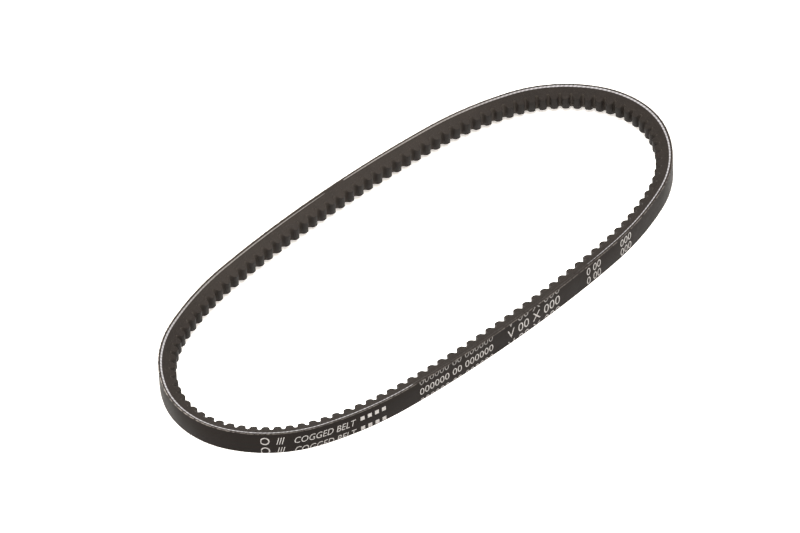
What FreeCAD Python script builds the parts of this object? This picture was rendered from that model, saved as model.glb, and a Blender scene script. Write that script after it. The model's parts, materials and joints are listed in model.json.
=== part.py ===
import FreeCAD, Part
import math
import os

# A raw-edge cogged V belt, lying on one flank edge as a free oval loop.
#
# The loop lies in the XY plane with its long axis on X, its lower back edge on z = 0 and its
# middle over the origin. Distances along the belt are counted on its back, anticlockwise from
# the middle of the +X end, and depths are counted inwards from the back.
#
# The belt is four layers moulded onto each other: a back cover, a layer of tension cords in
# cushion rubber, and the compression rubber with its cogs. Rubber bends anywhere, so the loop
# is cut into short sections that turn about upright axes on the cord line, which is the one
# line of the belt that keeps its length. Each layer of each section is one node.

# ---- driving dimensions, millimetres and degrees ----

outside_length = 613.0        # round the back of the belt
top_width = 10.0              # across the back
belt_height = 7.0             # back to cog crests
flank_angle = 20.0            # each flank from square, half of the V
edge_land = 0.35              # flat trimmed edge beside the back, which the belt rests on

cover_thickness = 0.7         # back cover
cord_diameter = 0.84
cord_cover = 0.1              # cushion rubber between the cords and the back cover
cord_bed = 0.16               # cushion rubber between the cords and the cog rubber
cord_count = 8                # turns of the cord across the belt
cord_cut = 0.22               # outermost cord's centre to the flank that slices it

cog_pitch_wanted = 5.2        # along the back
cog_depth = 2.7               # crest to valley
cog_flank_angle = 12.0        # cog side from square
valley_radius = 1.0
crest_radius = 1.2

end_bend = 1.18               # how much sharper the ends bend than a circle does
side_bend = 0.34              # second harmonic, which straightens the sides

flex_slim = 10.0              # travel of the end hinges, ends bending tighter
flex_round = 18.0             # travel of the end hinges, loop opening rounder
flex_spare = 1.0              # angle left over at each end of the travel
section_gap = 0.3             # between sections, at the cord line

# ---- what follows from them ----

path_bends = 16               # tangent arcs round the loop, one centred on each end
half_hinges = 8               # hinge places in half a loop
cord_radius = cord_diameter / 2
cord_depth = cover_thickness + cord_cover + cord_radius
cushion_thickness = cord_cover + cord_diameter + cord_bed
cushion_bottom = cover_thickness + cushion_thickness
half_cogs = round(outside_length / 2 / cog_pitch_wanted)
cog_pitch = outside_length / (2 * half_cogs)
cord_end_room = section_gap / 2 + cord_radius * math.tan(math.radians(flex_round + flex_spare) / 2)
over = 1.0                    # how far cutting tools reach past the belt


def rad(degrees):
    return math.radians(degrees)


# ---- the loop, as tangent arcs ----


def heading(distance):
    """Angle of the outward normal at a distance along the back, in radians."""
    angle = 2 * math.pi * distance / outside_length
    return angle + end_bend / 2 * math.sin(2 * angle) + side_bend / 4 * math.sin(4 * angle)


def make_bends():
    """The arcs as (start distance, end distance, centre x, centre y, radius, start angle)."""
    length = outside_length / path_bends
    edges = [(i - 0.5) * length for i in range(path_bends + 1)]
    radii = []
    for a, b in zip(edges[:-1], edges[1:]):
        radii.append(length / (heading(b) - heading(a)))
    bends = []
    x, y = 0.0, 0.0
    for i, radius in enumerate(radii):
        angle = heading(edges[i])
        if i:
            step = radii[i - 1] - radius
            x += step * math.cos(angle)
            y += step * math.sin(angle)
        bends.append([edges[i], edges[i + 1], x, y, radius, angle])
    middle_x = bends[path_bends // 4][2]
    for bend in bends:
        bend[2] -= middle_x
    return bends


bends = make_bends()


def bend_at(distance):
    """The arc that holds a distance, with the distance counted from the arc's own turn."""
    wrapped = (distance + outside_length / path_bends / 2) % outside_length
    wrapped -= outside_length / path_bends / 2
    for bend in bends:
        if wrapped <= bend[1]:
            return bend, wrapped
    return bends[-1], wrapped


def place(distance, along, depth):
    """A point given along and inwards from the belt's own place at a distance."""
    bend, wrapped = bend_at(distance)
    angle = bend[5] + (wrapped - bend[0]) / bend[4]
    out = bend[4] - depth
    x = bend[2] + out * math.cos(angle) - along * math.sin(angle)
    y = bend[3] + out * math.sin(angle) + along * math.cos(angle)
    return FreeCAD.Vector(x, y, 0)


# ---- the cross section ----


def half_width(depth):
    """Half the belt's width at a depth."""
    return top_width / 2 - max(depth - edge_land, 0) * math.tan(rad(flank_angle))


def section_face(top, bottom):
    """The V section between two depths, in the XZ plane with depth running along -X."""
    depths = [top, bottom]
    if top < edge_land < bottom:
        depths.insert(1, edge_land)
    middle = top_width / 2
    upper = [FreeCAD.Vector(-d, 0, middle + half_width(d)) for d in depths]
    lower = [FreeCAD.Vector(-d, 0, middle - half_width(d)) for d in reversed(depths)]
    return Part.Face(Part.makePolygon(upper + lower + upper[:1]))


def cord_places():
    """Where the cord turns cross the section, from the lower flank to the upper one."""
    reach = half_width(cord_depth) - cord_cut / math.cos(rad(flank_angle))
    spacing = 2 * reach / (cord_count - 1)
    heights = [top_width / 2 - reach + i * spacing for i in range(cord_count)]
    return [FreeCAD.Vector(-cord_depth, 0, z) for z in heights]


def round_disc(centre):
    """A whole cord's section."""
    circle = Part.Circle(centre, FreeCAD.Vector(0, 1, 0), cord_radius)
    return Part.Face(Part.Wire(circle.toShape()))


def sliced_disc(centre, side):
    """An outermost cord's section, cut off straight by the upper (1) or lower (-1) flank."""
    slope = rad(flank_angle)
    outward = FreeCAD.Vector(-math.sin(slope), 0, side * math.cos(slope))
    along = FreeCAD.Vector(-math.cos(slope), 0, -side * math.sin(slope))
    half_cut = math.sqrt(cord_radius**2 - cord_cut**2)
    middle = centre + outward * cord_cut
    first = middle + along * half_cut
    last = middle - along * half_cut
    back = centre - outward * cord_radius
    edges = [Part.Arc(first, back, last).toShape(), Part.LineSegment(last, first).toShape()]
    return Part.Face(Part.Wire(edges))


def cord_faces():
    """One face per cord turn, the two outer ones sliced by the flanks."""
    places = cord_places()
    whole = [round_disc(centre) for centre in places[1:-1]]
    return [sliced_disc(places[0], -1)] + whole + [sliced_disc(places[-1], 1)]


def cushion_section():
    """The cushion rubber's section: its layer with a bore or a groove for every cord turn."""
    layer = section_face(cover_thickness, cushion_bottom)
    return layer.cut([round_disc(centre) for centre in cord_places()]).Faces[0]


def swept(face, start, end):
    """A section face carried along the belt's back from one distance to another."""
    solids = []
    for turn in (-outside_length, 0, outside_length):
        for bend in bends:
            a = max(start, bend[0] + turn)
            b = min(end, bend[1] + turn)
            if b - a < 1e-6:
                continue
            first = bend[5] + (a - turn - bend[0]) / bend[4]
            piece = face.copy()
            piece.translate(FreeCAD.Vector(bend[4], 0, 0))
            axis = FreeCAD.Vector(0, 0, 1)
            origin = FreeCAD.Vector(0, 0, 0)
            solid = piece.revolve(origin, axis, math.degrees((b - a) / bend[4]))
            solid.rotate(origin, axis, math.degrees(first))
            solid.translate(FreeCAD.Vector(bend[2], bend[3], 0))
            solids.append(solid)
    whole = solids[0]
    if len(solids) > 1:
        whole = whole.fuse(solids[1:])
    return one_solid(whole)


# ---- cutting tools ----


def upright(wire):
    """A cutting tool: a plan outline raised through the belt's whole width."""
    face = Part.Face(wire)
    face.translate(FreeCAD.Vector(0, 0, -over))
    return face.extrude(FreeCAD.Vector(0, 0, top_width + 2 * over))


def hinge_tool(distance, inner_angle, outer_angle):
    """The room at a hinge: narrow at the cord line, and flaring inwards and outwards."""
    waist = section_gap / 2
    outer = waist + (cord_depth + over) * math.tan(rad(outer_angle) / 2)
    inner = waist + (belt_height + over - cord_depth) * math.tan(rad(inner_angle) / 2)
    outline = [
        (-outer, -over),
        (outer, -over),
        (waist, cord_depth),
        (inner, belt_height + over),
        (-inner, belt_height + over),
        (-waist, cord_depth),
    ]
    points = [place(distance, along, depth) for along, depth in outline]
    return upright(Part.makePolygon(points + points[:1]))


def cog_side():
    """One side of a cog as (along, depth) from the cog's middle: crest, corner and flank."""
    slope = rad(cog_flank_angle)
    root_centre = belt_height - cog_depth + valley_radius
    foot_along = cog_pitch / 2 - valley_radius * math.cos(slope)
    foot_depth = root_centre - valley_radius * math.sin(slope)
    corner = foot_along - (belt_height - foot_depth) * math.tan(slope)
    back = crest_radius * math.tan((math.pi / 2 - slope) / 2)
    crest_end = (corner - back, belt_height)
    flank_top = (corner + back * math.sin(slope), belt_height - back * math.cos(slope))
    turn = (math.pi / 2 - slope) / 2
    corner_middle = (
        corner - back + crest_radius * math.sin(turn),
        belt_height - crest_radius * (1 - math.cos(turn)),
    )
    return crest_end, corner_middle, flank_top, (foot_along, foot_depth)


def valley_tool(distance):
    """The space between two cogs. Cogs stay stiff and the belt bends at the valleys."""
    before = distance - cog_pitch / 2
    after = distance + cog_pitch / 2
    side = cog_side()
    left = [place(before, along, depth) for along, depth in side]
    right = [place(after, -along, depth) for along, depth in side]
    mouth_left = place(before, side[0][0], belt_height + over)
    mouth_right = place(after, -side[0][0], belt_height + over)
    root = place(distance, 0, belt_height - cog_depth)
    edges = [
        Part.LineSegment(mouth_left, left[0]).toShape(),
        Part.Arc(left[0], left[1], left[2]).toShape(),
        Part.LineSegment(left[2], left[3]).toShape(),
        Part.Arc(left[3], root, right[3]).toShape(),
        Part.LineSegment(right[3], right[2]).toShape(),
        Part.Arc(right[2], right[1], right[0]).toShape(),
        Part.LineSegment(right[0], mouth_right).toShape(),
        Part.LineSegment(mouth_right, mouth_left).toShape(),
    ]
    return upright(Part.Wire(edges))


# ---- sections and their hinges ----

# A hinge place is at the cog valley nearest below an even share of the loop. The share of the
# flexing that each takes is a cosine, so that the belt stays closed at every point of travel.
# Where the share is nothing the belt doesn't bend, and the sections on both sides are one.


def hinge_distance(index):
    half_turns, step = divmod(index, half_hinges)
    return (half_turns * half_cogs + step * half_cogs // half_hinges) * cog_pitch


def hinge_share(index):
    share = math.cos(2 * math.pi * index / half_hinges)
    return 0.0 if abs(share) < 1e-9 else share


def hinge_room(index, seam):
    """The cutting tool for a hinge place, or nothing where the belt is whole."""
    share = hinge_share(index)
    if share == 0.0:
        if index % (2 * half_hinges) == seam:
            return hinge_tool(hinge_distance(index), 0, 0)
        return None
    tighter = flex_slim if share > 0 else flex_round
    looser = flex_round if share > 0 else flex_slim
    inner_angle = abs(share) * tighter + flex_spare
    outer_angle = abs(share) * looser + flex_spare
    return hinge_tool(hinge_distance(index), inner_angle, outer_angle)


def section_ends(seam):
    """Index pairs of the hinge places at the two ends of every section."""
    cuts = []
    for i in range(2 * half_hinges):
        if hinge_share(i) != 0.0 or i == seam:
            cuts.append(i)
    return list(zip(cuts, cuts[1:] + [cuts[0] + 2 * half_hinges]))


def one_solid(shape):
    """The one solid that a shape has to be."""
    if len(shape.Solids) != 1:
        raise ValueError("a piece came apart into %d" % len(shape.Solids))
    return shape.Solids[0]


def cut_away(solid, tools):
    """A solid less its tools."""
    tools = [tool for tool in tools if tool]
    return one_solid(solid.cut(tools))


def make_section(start_index, end_index, seam):
    """The four layers of one section, by name."""
    start = hinge_distance(start_index)
    end = hinge_distance(end_index)
    rooms = [hinge_room(start_index, seam), hinge_room(end_index, seam)]
    cover = swept(section_face(0, cover_thickness), start, end)
    cushion = swept(cushion_section(), start, end)
    cord_start = start + cord_end_room
    cord_end = end - cord_end_room
    cords = [swept(face, cord_start, cord_end) for face in cord_faces()]
    cogs = swept(section_face(cushion_bottom, belt_height), start, end)
    first_valley = round(start / cog_pitch)
    last_valley = round(end / cog_pitch)
    valleys = [valley_tool(i * cog_pitch) for i in range(first_valley, last_valley + 1)]
    return {
        "back_cover": cut_away(cover, rooms),
        "cushion_rubber": cut_away(cushion, rooms),
        "tension_cords": Part.makeCompound(cords),
        "cog_rubber": cut_away(cogs, valleys + rooms),
    }


def main():
    os.makedirs("parts", exist_ok=True)
    seam = 2 * half_hinges - 2
    for number, (start_index, end_index) in enumerate(section_ends(seam), 1):
        layers = make_section(start_index, end_index, seam)
        for name, shape in layers.items():
            if not shape.isValid():
                raise ValueError("%s_%02d is not a valid shape" % (name, number))
            shape.exportStep("parts/%s_%02d.step" % (name, number))
        volume = sum(shape.Volume for shape in layers.values())
        print("section %02d: hinges %d to %d, %.0f mm3" % (number, start_index, end_index, volume))
    for bend in bends[: path_bends // 4 + 1]:
        print("bend radius on the back: %.1f mm" % bend[4])
    print("cogs: %d, pitch %.3f mm, cord depth %.2f mm" % (2 * half_cogs, cog_pitch, cord_depth))


main()
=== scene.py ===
# %% [markdown]
# # A cogged V belt, modelled layer by layer
#
# This lesson builds the looks of a raw-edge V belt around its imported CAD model. The belt is an
# endless rubber ring: a thin cover on the back, a layer of twisted cords that carries the pull,
# and a thick inner side with moulded cogs. It lies on one cut edge as a free oval loop.
#
# A belt is hard to model in place, because it bends all the way round. So every layer is made
# straight, on a bench in millimetres, where a cube is easy to cut and bevel. It is then copied
# along its run and laid on the loop by one function.

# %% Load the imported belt
import json
import math

import bpy
import numpy as np
from mathutils import Matrix, Vector

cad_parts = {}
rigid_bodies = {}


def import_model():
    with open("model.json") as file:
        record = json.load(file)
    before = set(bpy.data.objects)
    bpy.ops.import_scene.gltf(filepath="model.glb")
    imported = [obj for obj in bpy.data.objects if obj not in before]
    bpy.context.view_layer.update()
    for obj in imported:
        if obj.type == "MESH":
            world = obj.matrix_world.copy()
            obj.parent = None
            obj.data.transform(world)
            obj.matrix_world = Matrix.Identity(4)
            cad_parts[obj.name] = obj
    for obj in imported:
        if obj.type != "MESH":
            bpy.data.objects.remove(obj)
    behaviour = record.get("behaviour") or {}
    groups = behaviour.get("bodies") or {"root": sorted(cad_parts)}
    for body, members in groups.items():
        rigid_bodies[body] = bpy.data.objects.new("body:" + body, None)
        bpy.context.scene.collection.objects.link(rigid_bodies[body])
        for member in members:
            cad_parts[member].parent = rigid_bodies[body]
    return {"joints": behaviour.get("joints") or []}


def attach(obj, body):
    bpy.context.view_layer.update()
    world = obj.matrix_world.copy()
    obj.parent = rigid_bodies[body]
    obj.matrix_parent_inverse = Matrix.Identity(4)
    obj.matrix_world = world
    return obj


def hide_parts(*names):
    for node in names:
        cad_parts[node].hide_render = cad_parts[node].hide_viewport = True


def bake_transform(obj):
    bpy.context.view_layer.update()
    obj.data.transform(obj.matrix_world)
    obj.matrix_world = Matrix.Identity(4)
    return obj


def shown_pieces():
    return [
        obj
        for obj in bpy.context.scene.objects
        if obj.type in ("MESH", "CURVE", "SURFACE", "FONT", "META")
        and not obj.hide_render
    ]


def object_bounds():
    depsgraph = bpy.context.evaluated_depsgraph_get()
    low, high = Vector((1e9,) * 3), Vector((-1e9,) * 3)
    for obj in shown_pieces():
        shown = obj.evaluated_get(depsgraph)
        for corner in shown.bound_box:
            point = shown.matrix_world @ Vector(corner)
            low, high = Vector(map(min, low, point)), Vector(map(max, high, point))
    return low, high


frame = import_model()
cad_low, cad_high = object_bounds()
print("CAD box in mm:", [round((b - a) * 1000, 2) for a, b in zip(cad_low, cad_high)])

# %% [markdown]
# ## Sizes
#
# The width comes from the frame. The others are the belt's own sizes, in millimetres, because
# that is how a belt maker gives them. The section is a V: it keeps its full width for a short
# way beside the back and then narrows by the same angle on both flanks.

# %% Sizes of the belt
MM = 0.001
top_width = (cad_high.z - cad_low.z) / MM
outside_length = 613.0
belt_height = 7.0
flank_angle = math.radians(20.0)
edge_land = 0.35
cover_thickness = 0.7
cushion_bottom = 1.8
cord_depth = 1.22
cord_radius = 0.42
cog_count = 118
cog_pitch = outside_length / cog_count
web_depth = 4.3


def half_width(depth):
    """Half the belt's width at a depth below the back. Depth may be an array."""
    return top_width / 2 - np.maximum(depth - edge_land, 0) * math.tan(flank_angle)


print("width %.2f mm, cog pitch %.3f mm" % (top_width, cog_pitch))

# %% [markdown]
# ## The loop
#
# The free loop is sixteen arcs that touch each other smoothly, tight at the two ends and almost
# straight along the sides. A circle turns evenly along its length; here two cosine terms add
# turning at the ends and take it from the sides. A curve object with a Curve modifier could
# carry the belt too, but arcs keep every length exact, and the CAD model has the same arcs.

# %% The loop as arcs
arc_count = 16
arc_length = outside_length / arc_count
end_bend = 1.18
side_bend = 0.34


def heading(distance):
    """Angle of the outward normal at a distance along the back."""
    angle = 2 * math.pi * distance / outside_length
    return angle + end_bend / 2 * math.sin(2 * angle) + side_bend / 4 * math.sin(4 * angle)


arc_starts = [heading((i - 0.5) * arc_length) for i in range(arc_count + 1)]
arc_radii = [arc_length / (b - a) for a, b in zip(arc_starts[:-1], arc_starts[1:])]
arc_centres = [Vector((0, 0))]
for i in range(1, arc_count):
    step = arc_radii[i - 1] - arc_radii[i]
    turned = Vector((math.cos(arc_starts[i]), math.sin(arc_starts[i])))
    arc_centres.append(arc_centres[-1] + step * turned)
middle_x = arc_centres[arc_count // 4].x
arc_table = np.array(
    [(c.x - middle_x, c.y, r, a) for c, r, a in zip(arc_centres, arc_radii, arc_starts)]
)


def arcs_at(distance):
    """The arc under each distance, and how far along it the distance is."""
    turned = (distance + arc_length / 2) % outside_length
    index = np.minimum((turned / arc_length).astype(int), arc_count - 1)
    return arc_table[index], turned - index * arc_length


def on_loop(distance, depth):
    """Plan places in millimetres for distances along the back and depths below it."""
    arcs, along = arcs_at(distance)
    angle = arcs[:, 3] + along / arcs[:, 2]
    out = arcs[:, 2] - depth
    return arcs[:, 0] + out * np.cos(angle), arcs[:, 1] + out * np.sin(angle)


every_step = np.arange(0, outside_length, 0.5)
loop_x, loop_y = on_loop(every_step, np.zeros_like(every_step))
print("loop %.1f x %.1f mm" % (np.ptp(loop_x), np.ptp(loop_y)))

# %% [markdown]
# ## Where the belt bends
#
# The CAD model cuts the loop into sections, with a hinge on the cord line between neighbours.
# Real rubber has no cuts. So each piece here reaches from the middle of one section to the
# middle of the next, over the hinge, and is laid on the loop in one smooth curve. At one place
# the loop is opened and never bends, and there two shorter pieces simply ride.

# %% Runs of cogs between the middles of the sections
def distance_of(joint):
    """How far along the belt a joint's axis is, to half a millimetre."""
    spot = Vector(joint["pos_m"][:2]) / MM
    line_x, line_y = on_loop(every_step, np.full_like(every_step, cord_depth))
    return every_step[np.argmin((line_x - spot.x) ** 2 + (line_y - spot.y) ** 2)]


hinges = [(round(distance_of(joint) / cog_pitch) % cog_count, joint) for joint in frame["joints"]]
hinges.sort(key=lambda item: item[0])
opening = cog_count * 7 // 8

ends_of = {}
for cog, joint in hinges:
    for body in (joint["parent"], joint["child"]):
        ends_of.setdefault(body, []).append(cog)
for body, cogs in ends_of.items():
    if len(cogs) == 1:
        cogs.append(opening)
    if max(cogs) - min(cogs) > cog_count / 2:
        ends_of[body] = [c + cog_count if c == min(cogs) else c for c in cogs]
middle_of = {body: sum(cogs) // 2 % cog_count for body, cogs in ends_of.items()}


def section_before(cog, joint):
    """The joint's two bodies in the order in which they lie along the loop."""
    gap = {body: (cog - middle_of[body]) % cog_count for body in (joint["parent"], joint["child"])}
    return sorted(gap, key=gap.get)


runs = []
for cog, joint in hinges:
    before, after = section_before(cog, joint)
    start = middle_of[before]
    length = (middle_of[after] - start) % cog_count
    runs.append({"start": start, "count": length, "bodies": [before, after], "hinge": joint})
single = [body for body, cogs in ends_of.items() if opening in cogs]
for body in single:
    start, end = sorted((middle_of[body], opening))
    runs.append({"start": start, "count": end - start, "bodies": [body], "hinge": None})
for run in runs:
    if run["start"] < opening and run["start"] + run["count"] <= opening:
        run["start"] += cog_count
    run["numbers"] = [body.split("_")[-1] for body in run["bodies"]]
    run["name"] = "_".join(run["numbers"])
print("runs:", sorted((run["start"], run["count"], run["name"]) for run in runs))
print("cogs in all runs:", sum(run["count"] for run in runs))

# %% [markdown]
# ## Bench helpers
#
# An operator acts on whatever is selected, so each step starts from nothing selected and picks
# its faces or edges by their place. The helpers below select by a test on the coordinates.

# %% Selecting by place
TINY = 1e-4


def only(obj):
    """Makes obj the one selected and active object, in object mode."""
    if bpy.context.object and bpy.context.object.mode != "OBJECT":
        bpy.ops.object.mode_set(mode="OBJECT")
    bpy.ops.object.select_all(action="DESELECT")
    obj.select_set(True)
    bpy.context.view_layer.objects.active = obj
    return obj


def pick(obj, kind, test):
    """In edit mode, selects the faces or edges for which test(list of corners) is true."""
    bpy.ops.mesh.select_all(action="DESELECT")
    bpy.ops.mesh.select_mode(type=kind)
    bpy.ops.object.mode_set(mode="OBJECT")
    mesh = obj.data
    items = mesh.polygons if kind == "FACE" else mesh.edges
    count = 0
    for item in items:
        item.select = bool(test([mesh.vertices[i].co for i in item.vertices]))
        count += item.select
    bpy.ops.object.mode_set(mode="EDIT")
    return count


def all_at(corners, axis, value):
    """True if every corner lies at value on an axis, 0 to 2."""
    return all(abs(c[axis] - value) < TINY for c in corners)


def bench_block(name, low, high):
    """A cube primitive stretched between two corners, left in edit mode."""
    bpy.ops.mesh.primitive_cube_add(size=1)
    block = only(bpy.context.object)
    block.name = name
    centre = (Vector(low) + Vector(high)) / 2
    size = Vector(high) - Vector(low)
    block.data.transform(Matrix.Translation(centre) @ Matrix.Diagonal((*size, 1)))
    bpy.ops.object.mode_set(mode="EDIT")
    return block


def cut_columns(obj, step):
    """Cuts a bench piece across its length every step, so that it can follow the loop."""
    count = round(cog_pitch / step)
    for i in range(1, count):
        bpy.ops.mesh.select_all(action="SELECT")
        bpy.ops.mesh.bisect(plane_co=(i * cog_pitch / count, 0, 0), plane_no=(1, 0, 0))


def open_ends(obj, length=cog_pitch):
    """Removes the two end faces, so that copies in a row join up."""
    pick(obj, "FACE", lambda c: all_at(c, 0, 0) or all_at(c, 0, length))
    bpy.ops.mesh.delete(type="ONLY_FACE")
    bpy.ops.object.mode_set(mode="OBJECT")


# %% [markdown]
# ## Back cover
#
# The cover is the belt's outside: a sheet of rubber 0.7 mm thick, rolled smooth. Its long edges
# are where the knife cut the sleeve into belts, so they are crisp but not razor sharp. A cube is
# enough to start from: bevel its two outer edges and cut it across for bending.

# %% One pitch of back cover
edge_round = 0.16
column = 0.65
half_top = top_width / 2

cover_unit = bench_block("cover_unit", (0, 0, -half_top), (cog_pitch, cover_thickness, half_top))
found = pick(
    cover_unit,
    "EDGE",
    lambda c: all_at(c, 1, 0) and (all_at(c, 2, half_top) or all_at(c, 2, -half_top)),
)
bpy.ops.mesh.bevel(offset=edge_round, segments=3, affect="EDGES")
cut_columns(cover_unit, column)
open_ends(cover_unit)
print("edges rounded:", found, "- faces in one pitch:", len(cover_unit.data.polygons))

# %% [markdown]
# ## Cushion rubber
#
# The cushion is softer rubber round the cords. Only its two narrow edges show, as a band on each
# flank. It is a plain block with a very small step at each edge, where the layers meet.

# %% One pitch of cushion rubber
layer_groove = 0.035

cushion_unit = bench_block(
    "cushion_unit", (0, cover_thickness, -half_top), (cog_pitch, cushion_bottom, half_top)
)


def on_flank_rim(c, rim_depths):
    """True for a long edge on either flank at one of the depths."""
    flank = all_at(c, 2, half_top) or all_at(c, 2, -half_top)
    return flank and any(all_at(c, 1, depth) for depth in rim_depths)


pick(cushion_unit, "EDGE", lambda c: on_flank_rim(c, (cover_thickness, cushion_bottom)))
bpy.ops.mesh.bevel(offset=layer_groove, segments=1, affect="EDGES")
cut_columns(cushion_unit, column)
open_ends(cushion_unit)
print("faces in one pitch:", len(cushion_unit.data.polygons))

# %% [markdown]
# ## Cogs
#
# The inner side is moulded with a row of cogs, so that a thick belt can wrap a small pulley. One
# cog is made from a slab: cut a strip free with two bisects, extrude it inwards, draw its end
# together, then bevel. A bevel on the outer corners rounds the crest. A bevel on the inner
# corners makes the round root, which keeps the rubber from cracking there.

# %% One cog
cog_slope = math.radians(12.0)
root_radius = 1.0
crest_radius = 1.2
corner_share = math.tan((math.pi / 2 - cog_slope) / 2)
root_reach = root_radius * corner_share
root_bevel = 0.99 * root_reach  # a hair less, so that it stops short of the next cog
crest_reach = crest_radius * corner_share
foot = cog_pitch / 2 - root_reach
crest_half = foot - (belt_height - web_depth) * math.tan(cog_slope)
cog_middle = cog_pitch / 2

cog_unit = bench_block(
    "cog_unit", (0, cushion_bottom, -half_top), (cog_pitch, web_depth, half_top)
)
for side in (-1, 1):
    bpy.ops.mesh.select_all(action="SELECT")
    bpy.ops.mesh.bisect(plane_co=(cog_middle + side * foot, 0, 0), plane_no=(1, 0, 0))
pick(
    cog_unit,
    "FACE",
    lambda c: all_at(c, 1, web_depth) and all(abs(v.x - cog_middle) < foot + TINY for v in c),
)
bpy.ops.mesh.extrude_region_move(
    TRANSFORM_OT_translate={"value": (0, belt_height - web_depth, 0)}
)
bpy.ops.transform.resize(
    value=(crest_half / foot, 1, 1), center_override=(cog_middle, belt_height, 0)
)

# %% Round the crest and the root
crests = pick(
    cog_unit,
    "EDGE",
    lambda c: all_at(c, 1, belt_height) and abs(c[0].x - c[1].x) < TINY,
)
bpy.ops.mesh.bevel(offset=crest_reach, segments=5, affect="EDGES")
roots = pick(
    cog_unit,
    "EDGE",
    lambda c: all_at(c, 1, web_depth)
    and abs(c[0].x - c[1].x) < TINY
    and abs(abs(c[0].x - cog_middle) - foot) < TINY,
)
bpy.ops.mesh.bevel(offset=root_bevel, segments=4, affect="EDGES")
print("crest corners:", crests, "root corners:", roots, "crest half width %.2f" % crest_half)

# %% [markdown]
# The flanks are cut with a knife and ground after moulding, so the corner between a flank and a
# cog is sharp with a slight burr. A tiny bevel catches the light there. The cuts across the
# length come last, so that the flat flank also bends with the loop.

# %% Break the cut edges and cut the columns
cut_edge = 0.09


def on_cut_edge(c):
    """True for the outline of a flank, apart from where it meets the cushion or the next cog."""
    flank = all_at(c, 2, half_top) or all_at(c, 2, -half_top)
    joint_side = all_at(c, 1, cushion_bottom) or all_at(c, 0, 0) or all_at(c, 0, cog_pitch)
    return flank and not joint_side


pick(cog_unit, "EDGE", on_cut_edge)
bpy.ops.mesh.bevel(offset=cut_edge, segments=2, affect="EDGES")
cut_columns(cog_unit, column)
open_ends(cog_unit)
print("faces in one cog:", len(cog_unit.data.polygons))

# %% [markdown]
# ## From the bench to the loop
#
# A run is the unit copied by an Array modifier, with its seams merged and its two ends closed.
# Laying it on the loop turns (along, depth, across) into a place in the row frame, and the V
# narrows it on the way. Real cogs are too stiff to shrink where the belt bends; the thin web at
# the valleys gives instead. So a cog keeps its own width and the valley beside it closes up.
#
# Two attributes stay on the mesh for the materials, so that grain and fibres follow the rubber
# when the loop is squeezed. The one named belt holds the bench coordinates, for marks that run
# along the belt. The one named round_belt is the same point on a perfectly round loop, for
# grain that must go round with no seam.

# %% Copy a unit along a run
def array_run(unit, count, name):
    """A copy of a bench unit repeated count times, with closed ends."""
    run = bpy.data.objects.new(name, unit.data.copy())
    bpy.context.scene.collection.objects.link(run)
    only(run)
    array = run.modifiers.new("row", "ARRAY")
    array.count = count
    array.use_relative_offset = False
    array.use_constant_offset = True
    array.constant_offset_displace = (cog_pitch, 0, 0)
    array.use_merge_vertices = True
    array.merge_threshold = TINY
    bpy.ops.object.modifier_apply(modifier="row")
    bpy.ops.object.mode_set(mode="EDIT")
    for end in (0, count * cog_pitch):
        pick(run, "EDGE", lambda c: all_at(c, 0, end))
        bpy.ops.mesh.edge_face_add()
    bpy.ops.mesh.select_all(action="SELECT")
    bpy.ops.mesh.normals_make_consistent(inside=False)
    bpy.ops.object.mode_set(mode="OBJECT")
    return run


# %% Lay a piece on the loop
def ease(share):
    """Runs smoothly from 0 to 1."""
    share = np.clip(share, 0, 1)
    return share * share * (3 - 2 * share)


def stiff_cogs(distance, depth):
    """Distances corrected so that a cog keeps its width, and only valleys close up."""
    cog = np.floor(distance / cog_pitch + TINY)
    middle = (cog + 0.5) * cog_pitch
    arcs, _ = arcs_at(middle)
    shrink = 1 - depth / arcs[:, 2]
    off = distance - middle
    body = cog_pitch / 2 - root_radius
    wide = np.abs(off) / shrink
    edge = body / shrink
    beyond = (np.abs(off) - body) / (cog_pitch / 2 - body)
    valley = edge + (cog_pitch / 2 - edge) * np.clip(beyond, 0, 1)
    kept = np.sign(off) * np.where(np.abs(off) < body, wide, valley)
    share = ease((depth - cushion_bottom) / (web_depth - cushion_bottom))
    return middle + off + share * (kept - off)


def lay_on_loop(obj, first_cog, cogs=False):
    """Moves a straight bench piece onto the loop and keeps its bench coordinates."""
    mesh = obj.data
    bench = np.zeros(len(mesh.vertices) * 3)
    mesh.vertices.foreach_get("co", bench)
    bench = bench.reshape(-1, 3)
    distance = bench[:, 0] + first_cog * cog_pitch
    depth = bench[:, 1]
    across = bench[:, 2] * half_width(depth) / half_top
    true_distance = stiff_cogs(distance, depth) if cogs else distance
    x, y = on_loop(true_distance, depth)
    placed = np.stack([x, y, half_top + across], 1) * MM
    mesh.vertices.foreach_set("co", placed.ravel())
    turn = 2 * math.pi * distance / outside_length
    radius = outside_length / (2 * math.pi) - depth
    rounded = (radius * np.cos(turn), radius * np.sin(turn), across)
    for name, values in (("belt", (distance, depth, across)), ("round_belt", rounded)):
        layer = mesh.attributes.new(name, "FLOAT_VECTOR", "POINT")
        layer.data.foreach_set("vector", np.stack(values, 1).ravel())
    mesh.update()
    return obj


# %% [markdown]
# ## Cords
#
# The pull is carried by polyester cord, wound round the belt two threads at a time, so it lies
# as a flat double spiral. The flanks are cut straight through that spiral. Where a turn happens
# to lie in the cut it shows as a pale line, wide where the knife met its middle and thin where
# it only touched it. The line fades out, and further on the next turn comes up beside it.
#
# So each cord is a real tube that drifts slowly across the belt. Its vertices are measured along
# the flank and square to it. Those past the flank are brought back onto it, as a knife would
# leave them, with a slight swell because the cut yarn springs out of the rubber.

# %% Cord turns and the knife
cord_lead = 2.0
pair_spacing = 0.86
cord_at_flank = 26.0
slice_proud = 0.03
slope_cos, slope_sin = math.cos(flank_angle), math.sin(flank_angle)
sliced_sides = 20
inner_sides = 8
sliced_step = 0.65
inner_step = 2.6


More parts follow.
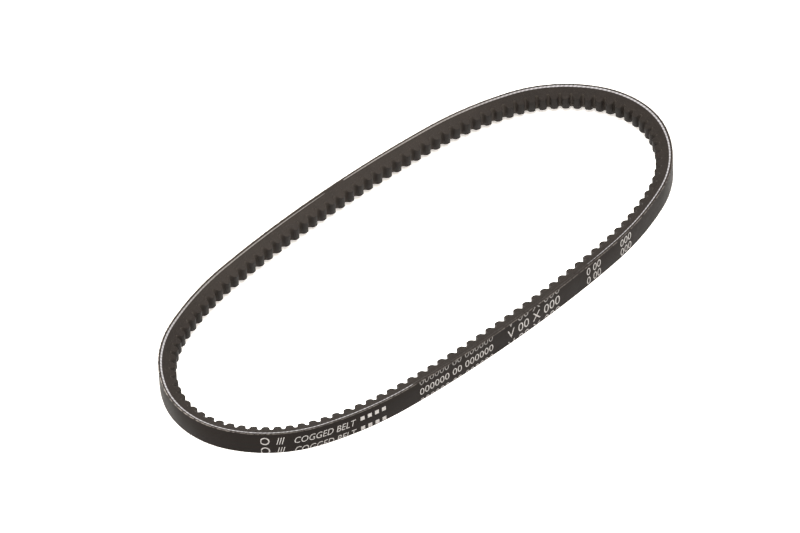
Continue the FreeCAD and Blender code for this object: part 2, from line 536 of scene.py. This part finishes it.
def cord_height(turn, distance):
    """How far a cord turn's centre is from the middle of the belt, at a distance."""
    wound, second = divmod(turn, 2)
    passed = (distance - cord_at_flank) / outside_length
    top = float(half_width(cord_depth)) + cord_lead * passed
    return top - wound * cord_lead - second * pair_spacing


def cord_tube(turn, start, length):
    """One cord turn over a run, straight on the bench, sliced where it passes a flank."""
    flank = float(half_width(cord_depth))
    heights = [abs(cord_height(turn, start + s)) for s in (0, length)]
    sliced = max(heights) + cord_radius > flank
    steps = max(1, round(length / (sliced_step if sliced else inner_step)))
    bpy.ops.mesh.primitive_cylinder_add(
        vertices=sliced_sides if sliced else inner_sides,
        radius=cord_radius,
        depth=length,
        location=(length / 2, cord_depth, 0),
        rotation=(0, math.pi / 2, 0),
    )
    tube = only(bpy.context.object)
    bpy.ops.object.transform_apply(location=True, rotation=True, scale=True)
    bpy.ops.object.mode_set(mode="EDIT")
    pick(tube, "EDGE", lambda c: abs(c[0].x - c[1].x) > length / 2)
    if steps > 1:
        bpy.ops.mesh.subdivide(number_cuts=steps - 1)
    bpy.ops.object.mode_set(mode="OBJECT")
    for vertex in tube.data.vertices:
        centre = cord_height(turn, start + vertex.co.x)
        side = 1 if centre > 0 else -1
        inwards, outwards = vertex.co.y - cord_depth, side * vertex.co.z
        beside = inwards * slope_cos - outwards * slope_sin
        beyond = inwards * slope_sin + outwards * slope_cos
        room = (flank - abs(centre)) * slope_cos
        if beyond > room:
            half_cut = math.sqrt(max(cord_radius**2 - room**2, 0))
            beside = max(-half_cut, min(half_cut, beside))
            beyond = room + slice_proud * (1 - (beside / cord_radius) ** 2)
        depth = cord_depth + beside * slope_cos + beyond * slope_sin
        height = centre + side * (beyond * slope_cos - beside * slope_sin)
        vertex.co.y = depth
        vertex.co.z = height * half_top / float(half_width(depth))
    return tube


# %% All the cord turns of one run
least_cut = 0.38
cord_samples = 60
fewest_samples = 3


def cord_run(run):
    """The cord turns of one run, joined as one piece and laid on the loop."""
    start = run["start"] * cog_pitch
    length = run["count"] * cog_pitch
    limit = float(half_width(cord_depth)) + least_cut
    tubes = []
    for turn in range(-2, 14):
        spots = np.linspace(0, length, cord_samples)
        inside = spots[np.abs(cord_height(turn, start + spots)) < limit]
        if len(inside) > fewest_samples:
            first, last = inside[0], inside[-1]
            tube = cord_tube(turn, start + first, last - first)
            tube.data.transform(Matrix.Translation((first, 0, 0)))
            tubes.append(tube)
    bpy.ops.object.select_all(action="DESELECT")
    for tube in tubes:
        tube.select_set(True)
    bpy.context.view_layer.objects.active = tubes[0]
    bpy.ops.object.join()
    piece = bpy.context.object
    piece.name = "tension_cords_" + run["name"]
    return lay_on_loop(piece, run["start"])


# %% [markdown]
# ## Materials
#
# Every colour is written as the hex value a painter would pick and turned linear once. Each
# pattern's scale is a real size in millimetres, which works because the belt attribute is in
# millimetres too.

# %% Colour and node helpers
def linear(hex_colour):
    """Linear RGBA from an sRGB hex value."""
    parts = [int(hex_colour[i : i + 2], 16) / 255 for i in (1, 3, 5)]
    low = [p / 12.92 for p in parts]
    high = [((p + 0.055) / 1.055) ** 2.4 for p in parts]
    return (*[h if p > 0.04045 else l for p, l, h in zip(parts, low, high)], 1.0)


def add_node(tree, kind, inputs=None, **settings):
    """Adds a node, applies its settings, and sets or links its inputs."""
    made = tree.nodes.new(kind)
    for name, value in settings.items():
        setattr(made, name, value)
    for name, value in (inputs or {}).items():
        if isinstance(value, bpy.types.NodeSocket):
            tree.links.new(value, made.inputs[name])
        else:
            made.inputs[name].default_value = value
    return made


def new_finish(name):
    """An empty node material with its Principled shader and its belt coordinates."""
    material = bpy.data.materials.new(name)
    material.use_nodes = True
    tree = material.node_tree
    tree.nodes.clear()
    shader = add_node(tree, "ShaderNodeBsdfPrincipled")
    add_node(tree, "ShaderNodeOutputMaterial", {"Surface": shader.outputs["BSDF"]})
    along = add_node(tree, "ShaderNodeAttribute", attribute_name="belt").outputs["Vector"]
    place = add_node(tree, "ShaderNodeAttribute", attribute_name="round_belt").outputs["Vector"]
    return material, tree, shader, along, place


# %% [markdown]
# Several finishes change towards one long side of the loop. The place on the round loop tells the
# two sides apart, and one helper gives the share: it brightens the painted rim highlight, pales
# the flank and greys the cord there.

# %% Share towards one side
def side_share(tree, place, start, full, least, most):
    """A share that grows from least to most towards one long side of the round loop."""
    side = add_node(tree, "ShaderNodeSeparateXYZ", {"Vector": place})
    return add_node(
        tree,
        "ShaderNodeMapRange",
        {"Value": side.outputs["Y"], "From Min": start, "From Max": full, "To Min": least,
         "To Max": most},
    ).outputs["Result"]


# %% [markdown]
# A pale broken line along both rims of the back is a painted highlight, where the cut edge
# catches the light. One helper mixes that line into a colour. It finds the rim by the bench
# coordinates:
# the last tenths of a millimetre of the width, close to the back. The painted highlight is
# brightest towards one long side of the loop.

# %% Painted rim highlight
def painted_rim_highlight(tree, along, place, colour):
    """A colour with a painted highlight, a pale broken line, along the rims of the back."""
    spot = add_node(tree, "ShaderNodeSeparateXYZ", {"Vector": along})
    across = add_node(
        tree, "ShaderNodeMath", {0: spot.outputs["Z"]}, operation="ABSOLUTE"
    )
    outer = add_node(
        tree,
        "ShaderNodeMapRange",
        {"Value": across.outputs[0], "From Min": half_top - 0.3, "From Max": half_top - 0.1},
    )
    near_back = add_node(
        tree,
        "ShaderNodeMapRange",
        {"Value": spot.outputs["Y"], "From Min": 0.15, "From Max": 0.5, "To Min": 1.0,
         "To Max": 0.0},
    )
    breaks = add_node(
        tree, "ShaderNodeTexNoise", {"Vector": place, "Scale": 1 / 1.6, "Detail": 4.0}
    )
    highlight_gaps = add_node(
        tree,
        "ShaderNodeMapRange",
        {"Value": breaks.outputs["Fac"], "From Min": 0.38, "From Max": 0.62, "To Min": 0.1,
         "To Max": 0.9},
    )
    rim = add_node(
        tree,
        "ShaderNodeMath",
        {0: outer.outputs["Result"], 1: near_back.outputs["Result"]},
        operation="MULTIPLY",
    )
    # The painted rim highlight is brightest towards one long side of the loop.
    broken = add_node(
        tree,
        "ShaderNodeMath",
        {0: side_share(tree, place, -30.0, 60.0, 0.2, 1.0), 1: highlight_gaps.outputs["Result"]},
        operation="MULTIPLY",
    )
    share = add_node(
        tree,
        "ShaderNodeMath",
        {0: rim.outputs[0], 1: broken.outputs[0]},
        operation="MULTIPLY",
    )
    # Pale colour of the painted rim highlight.
    return add_node(
        tree,
        "ShaderNodeMix",
        {"Factor": share.outputs[0], "A": colour, "B": linear("#b3aba4")},
        data_type="RGBA",
    )


# %% [markdown]
# ### Rolled chloroprene cover
#
# The back is chloroprene rubber that was pressed smooth against a polished sleeve. It is nearly
# black and satin, with a fine grain about 0.3 mm across, faint rolling lines along its length,
# and a dusty bloom that comes and goes over a few centimetres. Its cut edges carry a painted
# highlight: a pale line where they catch the light.

# %% Back cover rubber
def rolled_cover_rubber():
    """Pressed chloroprene: satin, nearly black, with grain, rolling lines and bloom."""
    material, tree, shader, along, place = new_finish("rolled_chloroprene")
    grain = add_node(
        tree, "ShaderNodeTexNoise", {"Vector": place, "Scale": 1 / 0.32, "Detail": 3.0}
    )
    stretched = add_node(
        tree, "ShaderNodeMapping", {"Vector": along, "Scale": (0.02, 1.0, 1.0)}
    )
    lines = add_node(
        tree,
        "ShaderNodeTexNoise",
        {"Vector": stretched.outputs["Vector"], "Scale": 1 / 0.55, "Detail": 2.0},
    )
    bloom = add_node(
        tree, "ShaderNodeTexNoise", {"Vector": place, "Scale": 1 / 14.0, "Detail": 4.0}
    )
    colour = add_node(
        tree,
        "ShaderNodeMix",
        {"Factor": bloom.outputs["Fac"], "A": linear("#0e0a08"), "B": linear("#181310")},
        data_type="RGBA",
    )
    streaked = add_node(
        tree,
        "ShaderNodeMix",
        {
            "Factor": 0.35,
            "A": colour.outputs["Result"],
            "B": lines.outputs["Color"],
        },
        data_type="RGBA",
        blend_type="SOFT_LIGHT",
    )
    rough = add_node(
        tree,
        "ShaderNodeMapRange",
        {"Value": bloom.outputs["Fac"], "From Min": 0.3, "From Max": 0.7, "To Min": 0.42,
         "To Max": 0.56},
    )
    low = add_node(
        tree,
        "ShaderNodeBump",
        {"Height": lines.outputs["Fac"], "Distance": 0.006 * MM, "Strength": 0.5},
    )
    high = add_node(
        tree,
        "ShaderNodeBump",
        {"Height": grain.outputs["Fac"], "Distance": 0.012 * MM, "Strength": 0.7,
         "Normal": low.outputs["Normal"]},
    )
    # Painted highlight: a pale line along the rims, where the cut edge catches the light.
    with_rim_highlight = painted_rim_highlight(tree, along, place, streaked.outputs["Result"])
    tree.links.new(with_rim_highlight.outputs["Result"], shader.inputs["Base Color"])
    tree.links.new(rough.outputs["Result"], shader.inputs["Roughness"])
    tree.links.new(high.outputs["Normal"], shader.inputs["Normal"])
    shader.inputs["IOR"].default_value = 1.52
    shader.inputs["Specular IOR Level"].default_value = 0.06
    return material


# %% [markdown]
# ### Ground rubber
#
# The flanks are cut and then ground on a stone, which leaves them matte and greyer than the
# back, with scratches along the belt. Short fibres lie across the compression rubber and end in
# the flank as tiny pale dots. Towards one long side of the loop the colour is a little paler, and
# near the back the rims carry a painted highlight.

# %% Flank rubber
def ground_flank_rubber():
    """Fibre-filled rubber after grinding: matte grey, scratched, with fibre ends."""
    material, tree, shader, along, place = new_finish("ground_fibre_rubber")
    stretched = add_node(
        tree, "ShaderNodeMapping", {"Vector": along, "Scale": (0.05, 1.0, 1.0)}
    )
    scratches = add_node(
        tree,
        "ShaderNodeTexNoise",
        {"Vector": stretched.outputs["Vector"], "Scale": 1 / 0.18, "Detail": 3.0},
    )
    fibres = add_node(
        tree, "ShaderNodeTexVoronoi", {"Vector": place, "Scale": 1 / 0.42, "Randomness": 1.0}
    )
    dots = add_node(
        tree,
        "ShaderNodeMapRange",
        {"Value": fibres.outputs["Distance"], "From Min": 0.10, "From Max": 0.24, "To Min": 0.35,
         "To Max": 0.0},
    )
    mottle = add_node(
        tree, "ShaderNodeTexNoise", {"Vector": place, "Scale": 1 / 5.0, "Detail": 5.0}
    )
    colour = add_node(
        tree,
        "ShaderNodeMix",
        {"Factor": mottle.outputs["Fac"], "A": linear("#15110e"), "B": linear("#221c18")},
        data_type="RGBA",
    )
    dotted = add_node(
        tree,
        "ShaderNodeMix",
        {"Factor": dots.outputs["Result"], "A": colour.outputs["Result"],
         "B": linear("#5d5751")},
        data_type="RGBA",
    )
    rough = add_node(
        tree,
        "ShaderNodeMapRange",
        {"Value": scratches.outputs["Fac"], "From Min": 0.3, "From Max": 0.7, "To Min": 0.62,
         "To Max": 0.82},
    )
    relief = add_node(
        tree,
        "ShaderNodeBump",
        {"Height": scratches.outputs["Fac"], "Distance": 0.02 * MM, "Strength": 0.8},
    )
    lightened = add_node(
        tree,
        "ShaderNodeMix",
        {"Factor": side_share(tree, place, 50.0, 78.0, 0.0, 0.075),
         "A": dotted.outputs["Result"], "B": linear("#5d5751")},
        data_type="RGBA",
    )
    # Painted highlight: a pale line along the rims near the back, where the cut edge catches the
    # light.
    with_rim_highlight = painted_rim_highlight(tree, along, place, lightened.outputs["Result"])
    tree.links.new(with_rim_highlight.outputs["Result"], shader.inputs["Base Color"])
    tree.links.new(rough.outputs["Result"], shader.inputs["Roughness"])
    tree.links.new(relief.outputs["Normal"], shader.inputs["Normal"])
    shader.inputs["IOR"].default_value = 1.5
    shader.inputs["Specular IOR Level"].default_value = 0.16
    return material


# %% [markdown]
# ### Moulded rubber
#
# The faces of the cogs come straight from the mould. They are smoother and darker than the
# ground flanks, with the faint weave of the cloth that lined the mould. Towards the valleys the
# colour is paler: painted light that offsets the shade between the cogs.

# %% Cog face rubber
def moulded_cog_rubber():
    """Rubber as it leaves the mould: dark, with a faint cloth imprint, bloom, and painted light in
    the valleys.
    """
    material, tree, shader, along, place = new_finish("moulded_fibre_rubber")
    weave_rows = add_node(
        tree,
        "ShaderNodeTexWave",
        {"Vector": along, "Scale": 0.9, "Distortion": 1.2, "Detail": 2.0},
        bands_direction="Z",
    )
    grain = add_node(
        tree, "ShaderNodeTexNoise", {"Vector": place, "Scale": 1 / 0.25, "Detail": 3.0}
    )
    bloom = add_node(
        tree, "ShaderNodeTexNoise", {"Vector": place, "Scale": 1 / 2.5, "Detail": 4.0}
    )
    colour = add_node(
        tree,
        "ShaderNodeMix",
        {"Factor": bloom.outputs["Fac"], "A": linear("#0e0b09"), "B": linear("#191411")},
        data_type="RGBA",
    )
    spot = add_node(tree, "ShaderNodeSeparateXYZ", {"Vector": along})
    # Painted light: the colour pales towards the valley floor to offset the shade between the
    # cogs.
    painted_valley_light = add_node(
        tree,
        "ShaderNodeMapRange",
        {"Value": spot.outputs["Y"], "From Min": web_depth, "From Max": belt_height - 0.6,
         "To Min": 0.75, "To Max": 0.0},
    )
    lightened = add_node(
        tree,
        "ShaderNodeMix",
        {"Factor": painted_valley_light.outputs["Result"], "A": colour.outputs["Result"],
         "B": linear("#3d3732")},
        data_type="RGBA",
    )
    rough = add_node(
        tree,
        "ShaderNodeMapRange",
        {"Value": bloom.outputs["Fac"], "From Min": 0.3, "From Max": 0.7, "To Min": 0.5,
         "To Max": 0.68},
    )
    low = add_node(
        tree,
        "ShaderNodeBump",
        {"Height": weave_rows.outputs["Fac"], "Distance": 0.01 * MM, "Strength": 0.5},
    )
    high = add_node(
        tree,
        "ShaderNodeBump",
        {"Height": grain.outputs["Fac"], "Distance": 0.015 * MM, "Strength": 0.7,
         "Normal": low.outputs["Normal"]},
    )
    tree.links.new(lightened.outputs["Result"], shader.inputs["Base Color"])
    tree.links.new(rough.outputs["Result"], shader.inputs["Roughness"])
    tree.links.new(high.outputs["Normal"], shader.inputs["Normal"])
    shader.inputs["IOR"].default_value = 1.51
    shader.inputs["Specular IOR Level"].default_value = 0.16
    return material


# %% [markdown]
# ### Twisted polyester cord
#
# A sliced cord shows the ends of its filaments. It is off-white, slightly dirty with rubber, and
# its twist makes slanting darker marks about every 1.5 mm. The knife drags rubber over the
# edges of the cut yarn, so only the middle half millimetre shows clean. Towards one long side of
# the loop the cord is greyer.

# %% Cord
def sliced_polyester():
    """Cut polyester yarn: off-white, matte, with slanting marks from the twist."""
    material, tree, shader, along, place = new_finish("twisted_polyester")
    turned = add_node(
        tree, "ShaderNodeMapping", {"Vector": along, "Rotation": (0, 0, math.radians(35))}
    )
    twist = add_node(
        tree,
        "ShaderNodeTexWave",
        {"Vector": turned.outputs["Vector"], "Scale": 0.21, "Distortion": 2.0, "Detail": 3.0},
        bands_direction="X",
    )
    dirt = add_node(
        tree, "ShaderNodeTexNoise", {"Vector": place, "Scale": 1 / 1.1, "Detail": 5.0}
    )
    yarn = add_node(
        tree,
        "ShaderNodeMix",
        {"Factor": twist.outputs["Fac"], "A": linear("#747275"), "B": linear("#9d9b9e")},
        data_type="RGBA",
    )
    stain = add_node(
        tree,
        "ShaderNodeMapRange",
        {"Value": dirt.outputs["Fac"], "From Min": 0.52, "From Max": 0.75, "To Min": 0.0,
         "To Max": 0.6},
    )
    stain_and_side_grey = add_node(
        tree,
        "ShaderNodeMath",
        {0: stain.outputs["Result"], 1: side_share(tree, place, 38.0, 76.0, 0.0, 0.82)},
        operation="MAXIMUM",
    )
    stained = add_node(
        tree,
        "ShaderNodeMix",
        {"Factor": stain_and_side_grey.outputs[0], "A": yarn.outputs["Result"], "B": linear("#5b554f")},
        data_type="RGBA",
    )
    spot = add_node(tree, "ShaderNodeSeparateXYZ", {"Vector": along})
    off = add_node(
        tree, "ShaderNodeMath", {0: spot.outputs["Y"], 1: cord_depth}, operation="SUBTRACT"
    )
    away = add_node(tree, "ShaderNodeMath", {0: off.outputs[0]}, operation="ABSOLUTE")
    ragged = add_node(
        tree,
        "ShaderNodeMath",
        {0: dirt.outputs["Fac"], 1: 0.25, 2: away.outputs[0]},
        operation="MULTIPLY_ADD",
    )
    smear = add_node(
        tree,
        "ShaderNodeMapRange",
        {"Value": ragged.outputs[0], "From Min": 0.36, "From Max": 0.5, "To Min": 0.0,
         "To Max": 0.9},
    )
    colour = add_node(
        tree,
        "ShaderNodeMix",
        {"Factor": smear.outputs["Result"], "A": stained.outputs["Result"],
         "B": linear("#29231f")},
        data_type="RGBA",
    )
    relief = add_node(
        tree,
        "ShaderNodeBump",
        {"Height": twist.outputs["Fac"], "Distance": 0.04 * MM, "Strength": 0.8},
    )
    tree.links.new(colour.outputs["Result"], shader.inputs["Base Color"])
    tree.links.new(relief.outputs["Normal"], shader.inputs["Normal"])
    shader.inputs["Roughness"].default_value = 0.75
    shader.inputs["IOR"].default_value = 1.57
    return material


# %% [markdown]
# ### Marking ink
#
# The size marks are rolled on with white ink. It sits as a thin film that is worn and speckled,
# so the rubber shows through in places.

# %% Ink
def rolled_ink(name, cover, fresh):
    """White marking ink on rubber; more of it has worn away where cover is low."""
    material, tree, shader, along, place = new_finish(name)
    specks = add_node(
        tree, "ShaderNodeTexNoise", {"Vector": place, "Scale": 1 / 0.35, "Detail": 4.0}
    )
    worn = add_node(
        tree,
        "ShaderNodeMapRange",
        {"Value": specks.outputs["Fac"], "From Min": cover - 0.1, "From Max": cover + 0.1,
         "To Min": 0.0, "To Max": 0.85},
    )
    colour = add_node(
        tree,
        "ShaderNodeMix",
        {"Factor": worn.outputs["Result"], "A": linear(fresh), "B": linear("#2b2725")},
        data_type="RGBA",
    )
    tree.links.new(colour.outputs["Result"], shader.inputs["Base Color"])
    shader.inputs["Roughness"].default_value = 0.6
    shader.inputs["IOR"].default_value = 1.48
    return material


cover_finish = rolled_cover_rubber()
flank_finish = ground_flank_rubber()
cog_finish = moulded_cog_rubber()
cord_finish = sliced_polyester()
ink_finish = rolled_ink("white_marking_ink", 0.60, "#979492")
faint_ink_finish = rolled_ink("worn_marking_ink", 0.50, "#777472")
print("finishes:", [m.name for m in bpy.data.materials if m.use_nodes and m.users == 0])

# %% [markdown]
# ## Make every run
#
# Each layer of each run becomes one piece. It stands for the CAD nodes that it covers, which it
# hides. A piece of a run with one body is parented to that body; a piece over a hinge has its
# transform baked and stays where it was laid.

# %% Bodies and finishes for a piece
sharp_angle = math.radians(35)
flank_upright = 0.6  # least Z of the normal of a face that counts as flank


def flank_faces(mesh, depth_from):
    """Gives the second finish to the faces that look up or down, deeper than a depth."""
    belt = mesh.attributes["belt"].data
    for face in mesh.polygons:
        depth = sum(belt[i].vector[1] for i in face.vertices) / len(face.vertices)
        if abs(face.normal.z) > flank_upright and depth > depth_from:
            face.material_index = 1


def follow_bodies(piece, run):
    """Parents a piece to the one body of its run; over a hinge it only bakes the piece's
    transform.
    """
    if run["hinge"] is None:
        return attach(piece, run["bodies"][0])
    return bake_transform(piece)


def finish_piece(piece, run, layer, finishes):
    """Normals, finishes, replaced nodes and bodies for one piece."""
    only(piece)
    bpy.ops.object.shade_smooth_by_angle(angle=sharp_angle)
    for finish in finishes:
        piece.data.materials.append(finish)
    if len(finishes) > 1:
        flank_faces(piece.data, 0.0 if layer != "back_cover" else edge_land / 2)
    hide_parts(*["%s_%s" % (layer, number) for number in run["numbers"]])
    return follow_bodies(piece, run)


# %% Lay down the four layers
layers = (
    ("back_cover", cover_unit, "back_rubber", (cover_finish, flank_finish)),
    ("cushion_rubber", cushion_unit, "cushion_rubber", (flank_finish,)),
    ("cog_rubber", cog_unit, "cog_rubber", (cog_finish, flank_finish)),
)
for run in runs:
    for layer, unit, slot_name, finishes in layers:
        piece = array_run(unit, run["count"], "%s_run_%s" % (layer, run["name"]))
        lay_on_loop(piece, run["start"], cogs=layer == "cog_rubber")
        finish_piece(piece, run, layer, finishes)
    cords = cord_run(run)
    finish_piece(cords, run, "tension_cords", (cord_finish,))
for unit in (cover_unit, cushion_unit, cog_unit):
    bpy.data.objects.remove(unit)
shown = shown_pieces()
triangles = sum(len(face.vertices) - 2 for piece in shown for face in piece.data.polygons)
print("pieces:", len(shown), "triangles:", triangles)

# %% [markdown]
# ## Marks on the back
#
# Belts carry rolled-on marks. These are generic: plain words, noughts and dots. The marks are
# rolled on before the sleeve is cut into belts, so each group stands in rows and the knife cuts
# through the rows at the edges. Text is made as a text object with a little thickness, turned
# into a mesh, trimmed at the belt's edges, and laid on the loop like everything else.

# %% Text as bench pieces
ink_film = 0.02
edge_margin = 0.05
thin_stroke = 0.006
ring_line = 0.25
tile_count = 4
tile_share = (0.55, 0.6)  # a tile's width in its step, and its height in the row


def bench_text(words, start, base, height, width, slant=0.0):
    """Lettering on the bench, from start along the belt, standing on base above the lower edge."""
    bpy.ops.object.text_add()
    text = only(bpy.context.object)
    text.data.body = words
    text.data.shear = slant
    text.data.extrude = ink_film
    text.data.offset = -thin_stroke
    text.data.resolution_u = 3
    bpy.ops.object.convert(target="MESH")
    made = bpy.context.object
    low = Vector([min(v.co[i] for v in made.data.vertices) for i in range(3)])
    high = Vector([max(v.co[i] for v in made.data.vertices) for i in range(3)])
    wide = width / (high.x - low.x)
    tall = height / (high.y - low.y)
    for vertex in made.data.vertices:
        x = start + (vertex.co.x - low.x) * wide
        z = base - half_top + (vertex.co.y - low.y) * tall
        vertex.co = (x, -vertex.co.z, z)
    return made


def bench_ring(start, middle, radius, thickness):
    """A plain ring mark."""
    bpy.ops.mesh.primitive_torus_add(
        major_segments=28, minor_segments=4, major_radius=radius, minor_radius=thickness,
        location=(0, 0, 0),
    )
    made = only(bpy.context.object)
    for vertex in made.data.vertices:
        flat = vertex.co.z / thickness * ink_film
        vertex.co = (start + radius + vertex.co.x, -flat, middle - half_top + vertex.co.y)
    return made


def bench_squares(start, base, height, width, count):
    """A row of plain upright tiles."""
    step = width / count
    bpy.ops.mesh.primitive_cube_add(size=1)
    made = only(bpy.context.object)
    tile = Matrix.Diagonal((step * tile_share[0], 2 * ink_film, height * tile_share[1], 1))
    spot = Vector((start + step * 0.3, 0, base + height / 2 - half_top))
    made.data.transform(Matrix.Translation(spot) @ tile)
    row = made.modifiers.new("row", "ARRAY")
    row.count = count
    row.use_relative_offset = False
    row.use_constant_offset = True
    row.constant_offset_displace = (step, 0, 0)
    bpy.ops.object.modifier_apply(modifier="row")
    return made


def trim(obj, axis, low, high):
    """Cuts a bench piece off at two places on an axis and closes the cuts."""
    only(obj)
    bpy.ops.object.mode_set(mode="EDIT")
    for value, outward in ((low, -1), (high, 1)):
        normal = [0, 0, 0]
        normal[axis] = outward
        spot = [0, 0, 0]
        spot[axis] = value
        bpy.ops.mesh.select_all(action="SELECT")
        bpy.ops.mesh.bisect(plane_co=spot, plane_no=normal, use_fill=True, clear_outer=True)
    bpy.ops.object.mode_set(mode="OBJECT")
    return len(obj.data.polygons)


# %% Where the marks stand
# Kind, words, start along the belt, then base, height and width of the lettering, its slant, and
# the spacing of the rows. A row above is fainter, because the roller only just touched it.
mark_rows = (
    ("ring", "", 338.5, 4.4, 3.8, 3.8, 0.0, 5.1),
    ("bars", "III", 344.6, 4.4, 3.6, 3.4, 0.35, 5.1),
    ("word", "COGGED BELT", 351.8, 4.2, 3.1, 25.8, 0.25, 5.1),
    ("squares", "", 379.5, 4.8, 3.2, 13.0, 0.0, 5.1),
    ("number", "000000 00 000000", 407.8, 2.9, 3.3, 38.4, 0.0, 5.1),
    ("size", "V 00 X 000", 454.2, 2.8, 4.3, 29.6, 0.0, 5.6),
    ("batch", "0 00", 500.0, 5.3, 3.7, 8.6, 0.0, 4.7),
    ("check", "000", 521.2, 5.4, 3.6, 7.3, 0.0, 4.7),
)
least_row = 0.6
rows_above = ("number", "size")


def mark_copies(kind, base, height, spacing):
    """Heights and finishes of a mark's rows that touch the belt."""
    rows = [(base, ink_finish)]
    if base - spacing + height > least_row:
        rows.append((base - spacing, ink_finish))
    if kind in rows_above and base + spacing < top_width - least_row:
        rows.append((base + spacing, faint_ink_finish))
    return rows


def cut_text_columns(obj, low, high):
    """Cuts lettering across its length so that it follows the bend."""
    only(obj)
    bpy.ops.object.mode_set(mode="EDIT")
    place = low + column
    while place < high:
        bpy.ops.mesh.select_all(action="SELECT")
        bpy.ops.mesh.bisect(plane_co=(place, 0, 0), plane_no=(1, 0, 0))
        place += 2 * column
    bpy.ops.object.mode_set(mode="OBJECT")


def lay_mark(obj, name, low, high, finish):
    """Shares a mark out between the runs that it lies on."""
    for run in runs:
        first = (run["start"] * cog_pitch) % outside_length
        last = first + run["count"] * cog_pitch
        start, end = max(low, first), min(high, last)
        if end - start < TINY:
            continue
        part = bpy.data.objects.new("%s_%s" % (name, run["name"]), obj.data.copy())
        bpy.context.scene.collection.objects.link(part)
        if not trim(part, 0, start, end):
            bpy.data.objects.remove(part)
            continue
        lay_on_loop(part, 0)
        part.data.materials.append(finish)
        follow_bodies(part, run)
    bpy.data.objects.remove(obj)


# %% Print the marks
for kind, words, start, base, height, width, slant, spacing in mark_rows:
    for number, (row, finish) in enumerate(mark_copies(kind, base, height, spacing)):
        if kind == "ring":
            mark = bench_ring(start, row + height / 2, width / 2 - ring_line, ring_line)
        elif kind == "squares":
            mark = bench_squares(start, row, height, width, tile_count)
        else:
            mark = bench_text(words, start, row, height, width, slant)
        trim(mark, 2, edge_margin - half_top, half_top - edge_margin)
        cut_text_columns(mark, start, start + width)
        lay_mark(mark, "mark_%s_%d" % (kind, number), start, start + width, finish)

# %% [markdown]
# ## Floor, light and camera
#
# The belt lies on a plain white table under soft studio light: one large panel overhead, one
# on each side for the soft shine on the two end bends, and a bright surround. The table is lit
# faintly from within, which is how small goods are shown with almost no shadow.

# %% Floor
floor_gap = 0.05 * MM


def plain_floor():
    """A large lit table top just under the belt."""
    bpy.ops.mesh.primitive_plane_add(size=6.0, location=(0, 0, -floor_gap))
    floor = bpy.context.object
    floor.name = "floor"
    paint = bpy.data.materials.new("white_studio_paper")
    paint.use_nodes = True
    shader = paint.node_tree.nodes["Principled BSDF"]
    shader.inputs["Base Color"].default_value = linear("#fbfbfa")
    shader.inputs["Roughness"].default_value = 0.9
    shader.inputs["Emission Color"].default_value = linear("#fff8f0")
    shader.inputs["Emission Strength"].default_value = 0.45
    floor.data.materials.append(paint)
    return floor


plain_floor()

# %% Lights
aim = Vector((-2.40, 8.65, 0)) * MM


def soft_panel(name, place, size, power):
    """A square area light that faces the belt."""
    light = bpy.data.lights.new(name, "AREA")
    light.shape = "RECTANGLE"
    light.size, light.size_y = size
    light.energy = power
    lamp = bpy.data.objects.new(name, light)
    lamp.location = place
    lamp.rotation_euler = (aim - Vector(place)).to_track_quat("-Z", "Y").to_euler()
    bpy.context.scene.collection.objects.link(lamp)
    return lamp


soft_panel("overhead_panel", (-0.1, -0.1, 1.4), (1.8, 1.8), 26)
soft_panel("left_panel", (-1.2, 0.1, 0.7), (0.7, 1.0), 4)
soft_panel("right_panel", (1.2, -0.1, 0.7), (0.7, 1.0), 2)
world = bpy.data.worlds.new("studio")
bpy.context.scene.world = world
world.use_nodes = True
world.node_tree.nodes["Background"].inputs["Color"].default_value = linear("#fffaf4")
world.node_tree.nodes["Background"].inputs["Strength"].default_value = 1.5
bpy.context.scene.view_settings.view_transform = "Standard"

# %% [markdown]
# The camera stands well back with a long lens, so the loop hardly narrows with distance. It
# looks down at 42 degrees, across the loop's long axis, and is rolled by 3 degrees.

# %% Camera
view_distance = 3.198
view_down = math.radians(42.154)
view_turn = math.radians(42.477)
view_roll = math.radians(-3.011)
forward = Vector((math.sin(view_turn), math.cos(view_turn), 0))
right = Vector((math.cos(view_turn), -math.sin(view_turn), 0))
look = forward * math.cos(view_down) - Vector((0, 0, 1)) * math.sin(view_down)
up = right.cross(look)
right, up = (
    right * math.cos(view_roll) + up * math.sin(view_roll),
    up * math.cos(view_roll) - right * math.sin(view_roll),
)
lens = bpy.data.cameras.new("long_lens")
lens.sensor_width = 36.0
lens.lens = 361.0
lens.clip_start, lens.clip_end = 0.1, 50.0
camera = bpy.data.objects.new("camera", lens)
camera.matrix_world = Matrix.Translation(aim - look * view_distance) @ Matrix(
    (right, up, -look)
).transposed().to_4x4()
bpy.context.scene.collection.objects.link(camera)
bpy.context.scene.camera = camera
print("camera at", [round(v, 3) for v in camera.location])
